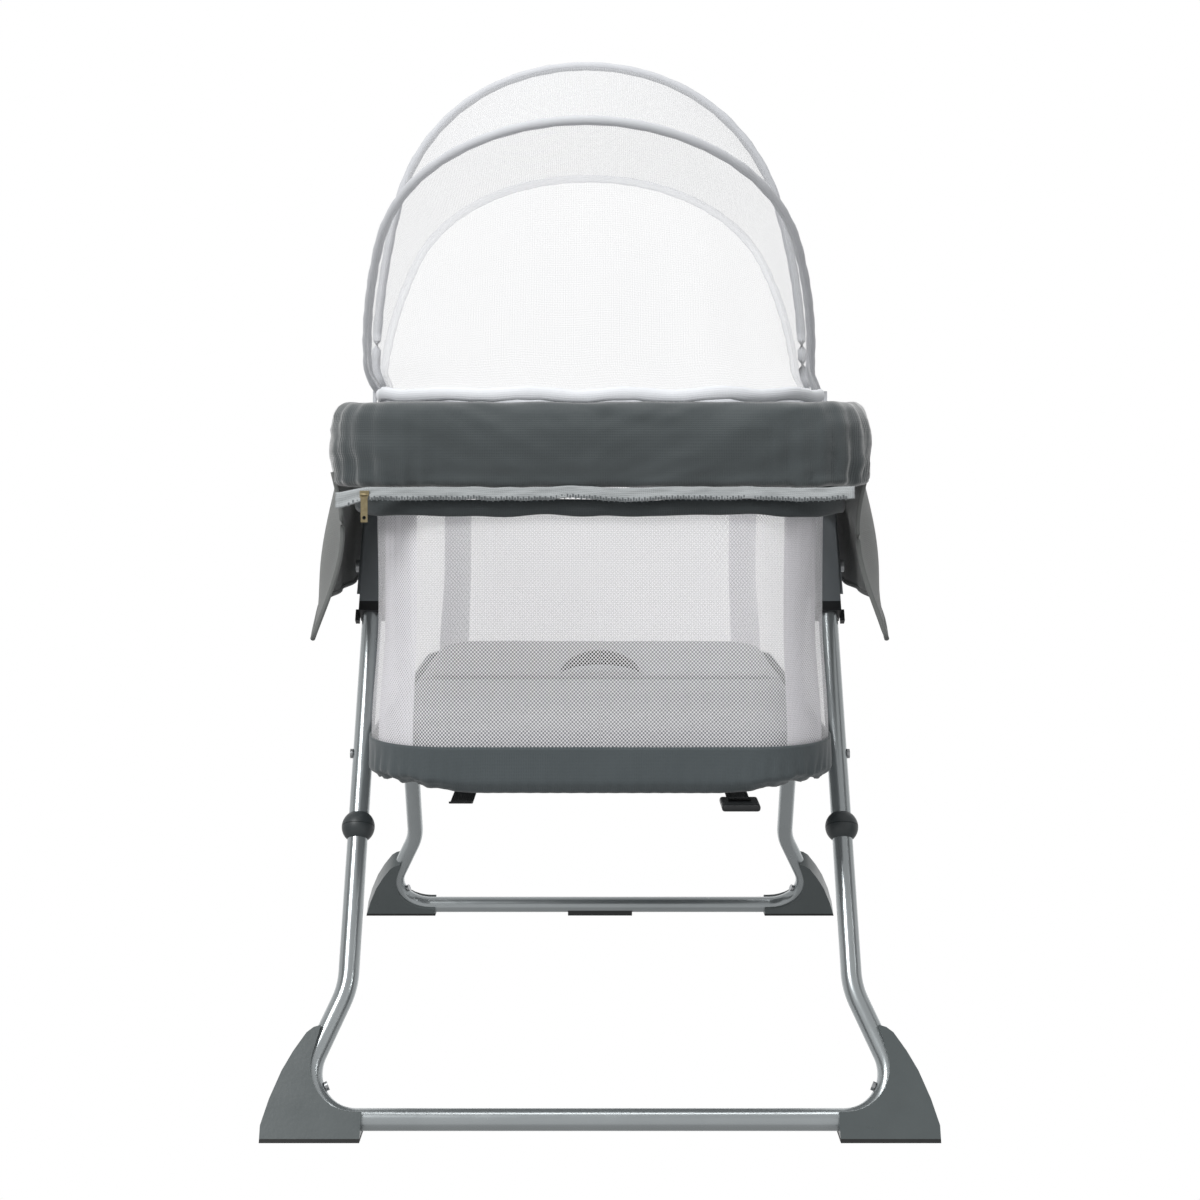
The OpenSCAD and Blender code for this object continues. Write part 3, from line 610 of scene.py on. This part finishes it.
def flap_sheet(side):
    """A flap that hangs from under the rim: it bellies out, and its ends curl in and down."""
    sign = -1 if side == "left" else 1
    half = FLAP[1].y + 8 * MM
    top, low = COVER[0].z + 14 * MM, FLAP[0].z + 2 * MM

    def point(u, v):
        y = -half + 2 * half * u
        edge = 1 - smooth(half - abs(y), 0.0, 0.085)
        drop = 1 - v
        z = low + (top - low) * v - 16 * MM * edge * drop ** 3 + 10 * MM * (1 - edge) * drop * drop
        out = FLAP_OUT + FLAP_BELLY * math.sin(math.pi * drop * 0.6)
        out -= edge * (4 + 26 * math.sin(math.pi * drop * 0.92) - 6 * drop) * MM
        out += 1.8 * MM * wobble(0, y, z, 0.06, 61.0 + sign) * drop
        out += 1.6 * MM * math.sin(y * 55) * drop * drop
        return Vector((sign * out, y, z))

    made = sheet_of(f"flap_cloth_{side}", FLAP_ACROSS, FLAP_DOWN, point, FLAP_CLOTH,
                    (2 * half, top - low))
    thicken(made, 1.6 * MM)
    rows = [point(0, k / FLAP_DOWN) for k in range(FLAP_DOWN, 0, -1)]
    rows += [point(k / FLAP_ACROSS, 0) for k in range(FLAP_ACROSS + 1)]
    rows += [point(1, k / FLAP_DOWN) for k in range(1, FLAP_DOWN + 1)]
    edge = tube_along(f"flap_binding_{side}", rows, 2.3 * MM, FLAP_CLOTH, 10)
    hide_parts(f"side_flap_{side}")
    for part in (made, edge):
        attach(part, "basket")


for side in SIDES:
    flap_sheet(side)


# ---------------------------------------------------------------- base floor and mattress
def rounded_plate(half_x, half_y, corner, z, around=160, rings=12):
    """Points, faces and uvs of a flat rounded plate, in rings from a pinhole at its middle."""
    points, faces, uvs = [], [], []
    for j in range(rings + 1):
        share = 0.002 + 0.998 * j / rings
        for k in range(around):
            at, _ = ring_point(k / around, half_x, half_y, corner)
            points.append((at.x * share, at.y * share, z))
    for j in range(rings):
        for k in range(around):
            a, b = j * around + k, j * around + (k + 1) % around
            faces.append([a, b, b + around, a + around])
            uvs += [points[i][:2] for i in faces[-1]]
    return points, faces, uvs


FLOOR_IN = 3 * MM
points, faces, uvs = rounded_plate(WALL_X - FLOOR_IN, WALL_Y - FLOOR_IN, WALL_CORNER - FLOOR_IN,
                                   FLOOR[0].z + 1.5 * MM)
floor_cloth = piece("base_floor_cloth", points, faces, BAND_CLOTH, uvs)
thicken(floor_cloth, 1.2 * MM)
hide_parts("base_floor")
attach(floor_cloth, "basket")


BED_ACROSS, BED_ALONG = 64, 52
BED_CORNER, BED_SIDE, BED_EDGE_R, BED_CROWN = 68 * MM, 5 * MM, 16 * MM, 2.4 * MM


def mattress_half(end):
    """One half of the mattress: a crowned pad, flat where it lies on its board."""
    sign = -1 if end == "near" else 1
    low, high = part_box(f"mattress_{end}")
    half_x, reach, corner = high.x - MM, max(abs(low.y), abs(high.y)) - MM, BED_CORNER
    start = min(abs(low.y), abs(high.y)) if end == "near" else 0.4 * MM
    base, top = low.z + BED_SIDE, BED[1].z - 3 * MM

    def outline(x_share, y_share):
        """Where a point of the unit square lies in the half plate, with round outer corners."""
        y = start + (reach - start) * y_share
        near_edge = max(y - (reach - corner), 0.0)
        wide = half_x - corner + math.sqrt(max(corner ** 2 - near_edge ** 2, 0.0))
        return Vector((wide * (2 * x_share - 1), sign * y))

    def height(x_share, y_share):
        """The top rises in a round edge, and goes on to a slight crown with soft dimples."""
        gap = min(x_share, 1 - x_share) * 2 * half_x
        gap = min(gap, (1 - y_share) * (reach - start), y_share * (reach - start) * 1.6)
        rise = math.sqrt(max(1 - (1 - min(gap / BED_EDGE_R, 1.0)) ** 2, 0.0))
        at = outline(x_share, y_share)
        crown = BED_CROWN * smooth(gap, 0.01, 0.09) + 0.8 * MM * wobble(at.x, at.y, 0, 0.07, 71.0)
        return base + (top - base + crown) * rise

    verts, quads = [], []
    for layer in range(2):
        for j in range(BED_ALONG + 1):
            for i in range(BED_ACROSS + 1):
                x_share = (1 - math.cos(math.pi * i / BED_ACROSS)) / 2
                y_share = (1 - math.cos(math.pi * j / BED_ALONG)) / 2
                at = outline(x_share, y_share)
                verts.append((at.x, at.y, height(x_share, y_share) if layer == 0 else low.z))
    row, shift = BED_ACROSS + 1, (BED_ACROSS + 1) * (BED_ALONG + 1)
    for layer in range(2):
        for j in range(BED_ALONG):
            for i in range(BED_ACROSS):
                first = layer * shift + j * row + i
                quads.append([first, first + 1, first + row + 1, first + row])
    rim = [j * row for j in range(BED_ALONG + 1)]
    rim += [BED_ALONG * row + i for i in range(1, row)]
    rim += [j * row + BED_ACROSS for j in range(BED_ALONG - 1, -1, -1)]
    rim += list(range(BED_ACROSS - 1, 0, -1))
    for a, b in zip(rim, rim[1:] + rim[:1]):
        quads.append([a, b, b + shift, a + shift])
    made = piece(f"mattress_pad_{end}", verts, quads, BED_CLOTH)

    def close(held):
        bmesh.ops.remove_doubles(held, verts=held.verts, dist=0.05 * MM)
        bmesh.ops.recalc_face_normals(held, faces=held.faces)

    edit(made, close)
    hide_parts(f"mattress_{end}")
    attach(made, "near_pad" if end == "near" else "basket")


for end in ENDS:
    mattress_half(end)
fold_line = [(-180 * MM + 6 * MM * k, 0, BED[1].z - 1.5 * MM) for k in range(61)]
piping = tube_along("fold_piping", fold_line, 2.2 * MM, BED_CLOTH, 10)
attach(piping, "basket")


# ---------------------------------------------------------------- straps
BELT_WIDTH, BELT_Z, BELT_SAG = 20 * MM, 292 * MM, 7.5 * MM
BELTS = {"left": (-123 * MM, 376 * MM), "right": (124 * MM, 362 * MM)}
BUCKLE_Z, BUCKLE_HALF_MM = 284 * MM, (17, 20, 3.2)


def pull_point(u, v):
    """The pull strap arches over the fold, and lies back on its width."""
    across = 2 * u - 1
    rise = (STRAP[1].z - STRAP[0].z) * max(1 - across * across, 0.0) ** 0.7
    y = STRAP[0].y + (STRAP[1].y - STRAP[0].y) * v
    return Vector((STRAP[1].x * across, y, STRAP[0].z + 3 * MM + rise * (0.42 + 0.58 * v)))


strap = sheet_of("pull_strap_webbing", 40, 6, pull_point, WEBBING, (0.1, 0.025))
thicken(strap, 1.4 * MM)
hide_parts("pull_strap")
belts = []
for name, (centre, reach) in BELTS.items():
    def belt_point(u, v, centre=centre, reach=reach):
        sag = BELT_SAG * smooth(min(v, 1 - v), -0.03, 0.03)
        return Vector((centre + BELT_WIDTH * (u - 0.5), reach * (2 * v - 1), BELT_Z - sag))

    belt = sheet_of(f"floor_belt_{name}", 4, 80, belt_point, WEBBING, (BELT_WIDTH, 2 * reach))
    thicken(belt, 1.5 * MM)
    belts.append(belt)
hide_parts("floor_strap")
middle = Vector((BELTS["right"][0], -BELTS["right"][1], BUCKLE_Z))
corners = []
for z in (-1, 1):
    for x, y in ((-1, -1), (1, -1), (1, 1), (-1, 1)):
        corners.append(middle + Vector((x, y, z)) * Vector(BUCKLE_HALF_MM) * MM)
buckle = piece("belt_buckle", corners, BOX_FACES, BLACK_ABS, smooth_faces=False)
edge = buckle.modifiers.new("edge", "BEVEL")
edge.width, edge.segments = 2.5 * MM, 3
apply_modifiers(buckle)
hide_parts("strap_buckle")
for part in [strap, buckle] + belts:
    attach(part, "basket")


# ---------------------------------------------------------------- canopy
HOOP_H, WIDE_H, SIDE_R, TOP_R = 354 * MM, 20 * MM, 700 * MM, 235 * MM
SIDE_TURN = math.radians(15.5)
NEAR_LEAN, FAR_LEAN = math.radians(43), math.radians(42)
HOOPS = {"mid": (228.5 * MM, 0.0), "near": (234 * MM, NEAR_LEAN), "far": (223 * MM, -FAR_LEAN)}
SLEEVE_R = 4.7 * MM
HOOP_POINTS = 97


def hoop_outline(half):
    """Points of the right half of a hoop, from its foot to its top, as (x, height over the
    pivots): a wide side arc, a tighter shoulder that meets it smoothly, and the top arc."""
    ax = half - SIDE_R + SIDE_R * math.cos(SIDE_TURN)
    ay = WIDE_H + SIDE_R * math.sin(SIDE_TURN) - HOOP_H + TOP_R
    toward = ax * math.cos(SIDE_TURN) + ay * math.sin(SIDE_TURN)
    r = (ax ** 2 + ay ** 2 - TOP_R ** 2) / (2 * (toward - TOP_R))
    sx, sy = ax - r * math.cos(SIDE_TURN), ay - r * math.sin(SIDE_TURN) + HOOP_H - TOP_R
    shoulder_end = math.atan2(sy - HOOP_H + TOP_R, sx)
    made = []
    for cx, cy, radius, start, stop, steps in (
            (half - SIDE_R, WIDE_H, SIDE_R, -math.asin(WIDE_H / SIDE_R), SIDE_TURN, 16),
            (sx, sy, r, SIDE_TURN, shoulder_end, 14),
            (0.0, HOOP_H - TOP_R, TOP_R, shoulder_end, math.pi / 2, 14)):
        for k in range(steps):
            turn = start + (stop - start) * k / steps
            made.append((cx + radius * math.cos(turn), cy + radius * math.sin(turn)))
    made.append((0.0, HOOP_H))
    return made


def sway(point):
    """The dome stands a little to the left of its pivots, and leans that way."""
    rise = point.z - PIVOT.z
    aside = 11.5 * MM * smooth(rise, -0.004, 0.03) + 3 * MM * smooth(rise, 0.1, 0.33)
    return Vector((point.x - aside, point.y, point.z))


def hoop_path(name):
    """Evenly spaced points along a hoop from its left foot to its right foot."""
    half, lean = HOOPS[name]
    right = hoop_outline(half)
    flat = [(-x, h) for x, h in right] + right[-2::-1]
    path = [Vector((x, -h * math.sin(lean), PIVOT.z + h * math.cos(lean))) for x, h in flat]
    runs = [0.0]
    for k in range(1, len(path)):
        runs.append(runs[-1] + (path[k] - path[k - 1]).length)
    spaced = []
    for k in range(HOOP_POINTS):
        want = runs[-1] * k / (HOOP_POINTS - 1)
        i = min(max(np.searchsorted(runs, want) - 1, 0), len(path) - 2)
        share = (want - runs[i]) / (runs[i + 1] - runs[i])
        spaced.append(path[i].lerp(path[i + 1], share))
    return spaced


def pucker(k):
    """How a sleeve swells and draws in where it is sewn."""
    return 1 + 0.07 * math.sin(k * 2.1) + 0.08 * wobble(k * 0.01, 0, 0, 0.02, 81.0)


PATHS = {name: hoop_path(name) for name in HOOPS}
for name, body in (("mid", "canopy"), ("near", "near_bow"), ("far", "far_bow")):
    path = [sway(p) for p in PATHS[name][1:-1]]
    cloth = SHEER_CASING if name == "far" else SLEEVE
    made = tube_along(f"hoop_sleeve_{name}", path, SLEEVE_R, cloth, 12, ripple=pucker)
    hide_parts(f"{name}_hoop")
    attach(made, body)


def between(first, second, u, v, bulge):
    """A point of the cloth stretched from one line of points to another."""
    k = u * (len(first) - 1)
    i = min(int(k), len(first) - 2)
    a, b = first[i].lerp(first[i + 1], k - i), second[i].lerp(second[i + 1], k - i)
    out = ((a + b) / 2 - PIVOT).normalized()
    return a.lerp(b, v) + out * bulge * 4 * v * (1 - v)


BAND_SAG, BAND_WAVE = 4 * MM, 1.3 * MM


def net_band(name, other):
    """The net between the middle hoop and another one, which sags in a little between them."""

    def point(u, v):
        at = between(PATHS["mid"], PATHS[other], u, v, -BAND_SAG)
        wave = BAND_WAVE * wobble(at.x, at.y, at.z, 0.06, 91.0) * 4 * v * (1 - v)
        return sway(at + (at - PIVOT).normalized() * wave)

    made = sheet_of(name, 150, 26, point, NET, (1.03, 0.24))
    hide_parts(name)
    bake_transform(made)
    return made


SKIRT_X, SKIRT_Y, SKIRT_Z = COVER[1].x - 22 * MM, COVER[1].y - 20 * MM, RIM_TOP + 5 * MM
SKIRT_CORNER, SKIRT_BELLY, SKIRT_HEM_R = 130 * MM, 9 * MM, 4.2 * MM


def skirt_hem(sign):
    """Where the skirt's hem lies on the rim, from the left pivot round the end to the right
    pivot. It narrows toward the end, and waves where it is gathered."""
    points = []
    for k in range(HOOP_POINTS):
        run = k / (HOOP_POINTS - 1)
        at, out = ring_point(0.75 + 0.5 * run, SKIRT_X, SKIRT_Y, SKIRT_CORNER)
        at = Vector((at.x * (1 - 0.07 * smooth(abs(at.y), 0.05, 0.3)), at.y))
        wave = 1.1 * MM * math.sin(run * 75) + 1.9 * MM * wobble(at.x, at.y, 0, 0.045, 95.0)
        wave *= smooth(abs(at.y), 0.0, 0.06)
        points.append(Vector((at.x + out.x * wave, -sign * (at.y + out.y * wave), SKIRT_Z + wave)))
    return points


def net_skirt(end, body):
    """The net from an end hoop down to the rim, with a gathered casing along its hem."""
    sign = -1 if end == "near" else 1
    hem_line = skirt_hem(sign)
    hoop = PATHS[end]

    def point(u, v):
        at = between(hoop, hem_line, u, v, SKIRT_BELLY * math.sin(math.pi * u))
        fold = 2.0 * MM * wobble(at.x * 2, at.y, at.z * 0.5, 0.05, 97.0) * smooth(v, 0.1, 1.0)
        return sway(at + Vector((0, sign * fold, 0)))

    made = sheet_of(f"net_skirt_cloth_{end}", 170, 30, point, SKIRT_NET, (1.1, 0.3))
    casing = tube_along(f"skirt_hem_{end}", [sway(p) for p in hem_line[2:-2]], SKIRT_HEM_R, RUFFLE,
                        10, flat=1.5, ripple=lambda k: 1 + 0.07 * math.sin(k * 2.4))
    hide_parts(f"net_skirt_{end}")
    for part in (made, casing):
        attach(part, body)


for end in ENDS:
    made = net_band(f"net_band_{end}", end)
    net_skirt(end, f"{end}_bow")


# ---------------------------------------------------------------- studio
def studio_world(scene):
    """Even white light from behind the object, greyer in front of it, above it and below it."""
    world = bpy.data.worlds.new("studio_world")
    scene.world = world
    world.use_nodes = True
    tree = world.node_tree
    where = put(tree, "ShaderNodeTexCoord", {}).outputs["Generated"]
    tall = put(tree, "ShaderNodeSeparateXYZ", {"Vector": where}).outputs["Z"]
    low = put(tree, "ShaderNodeMapRange", {
        "Value": tall, "From Min": -0.62, "From Max": -0.42, "To Min": 0.6, "To Max": 1.0})
    high = put(tree, "ShaderNodeMapRange", {
        "Value": tall, "From Min": 0.3, "From Max": 0.75, "To Min": 1.0, "To Max": 0.8})
    both = put(tree, "ShaderNodeMath", {0: low.outputs[0], 1: high.outputs[0]},
               operation="MULTIPLY")
    ahead = put(tree, "ShaderNodeSeparateXYZ", {"Vector": where}).outputs["Y"]
    behind = put(tree, "ShaderNodeMapRange", {
        "Value": ahead, "From Min": 0.5, "From Max": 0.8, "To Min": 0.6, "To Max": 1.0})
    glow = put(tree, "ShaderNodeMath", {0: both.outputs[0], 1: behind.outputs[0]},
               operation="MULTIPLY")
    tree.links.new(glow.outputs[0], tree.nodes["Background"].inputs["Strength"])
    tree.nodes["Background"].inputs["Color"].default_value = (1, 1, 1, 1)


def studio_lights(scene):
    """Three softboxes, and a black flag at each side that darkens the edges of the tubes."""
    for name, place, size, power, aim in (
            ("key_softbox", (-1.6, -2.2, 2.6), 1.0, 52, (0, 0, 0.6)),
            ("side_softbox", (2.6, -1.5, 1.5), 0.7, 22, (0, 0, 0.5)),
            ("top_softbox", (0.1, -0.4, 3.0), 1.2, 16, (0, 0, 0.6))):
        lamp = bpy.data.lights.new(name, "AREA")
        lamp.shape = "SQUARE"
        lamp.size = size
        lamp.energy = power
        holder = bpy.data.objects.new(name, lamp)
        holder.location = place
        holder.rotation_euler = (Vector(aim) - Vector(place)).to_track_quat("-Z", "Y").to_euler()
        scene.collection.objects.link(holder)
    black = surface("flag_black", {"Base Color": shade("#0A0A0A"), "Roughness": 0.9})[0]
    y, z, half_w, half_h = -1.0, 0.6, 0.55, 1.4
    for name, x in (("left_flag", -2.2), ("right_flag", 2.2)):
        held = bpy.data.meshes.new(name)
        corners = [(x, y - half_w, z - half_h), (x, y + half_w, z - half_h),
                   (x, y + half_w, z + half_h), (x, y - half_w, z + half_h)]
        held.from_pydata(corners, [], [[0, 1, 2, 3]])
        held.materials.append(black)
        flag = bpy.data.objects.new(name, held)
        scene.collection.objects.link(flag)


def studio_camera(scene):
    """A level camera at the near end, shifted down to frame the whole object."""
    lens = bpy.data.cameras.new("camera")
    lens.sensor_width = 36.0
    lens.lens = 58.95
    lens.shift_y = -0.1467
    holder = bpy.data.objects.new("camera", lens)
    holder.location = (0.0, -2.104, 0.621)
    holder.rotation_euler = (math.pi / 2, 0.0, 0.0)
    scene.collection.objects.link(holder)
    scene.camera = holder


studio_world(bpy.context.scene)
studio_lights(bpy.context.scene)
studio_camera(bpy.context.scene)
bpy.context.scene.view_settings.view_transform = "Standard"
bpy.context.scene.view_settings.look = "None"
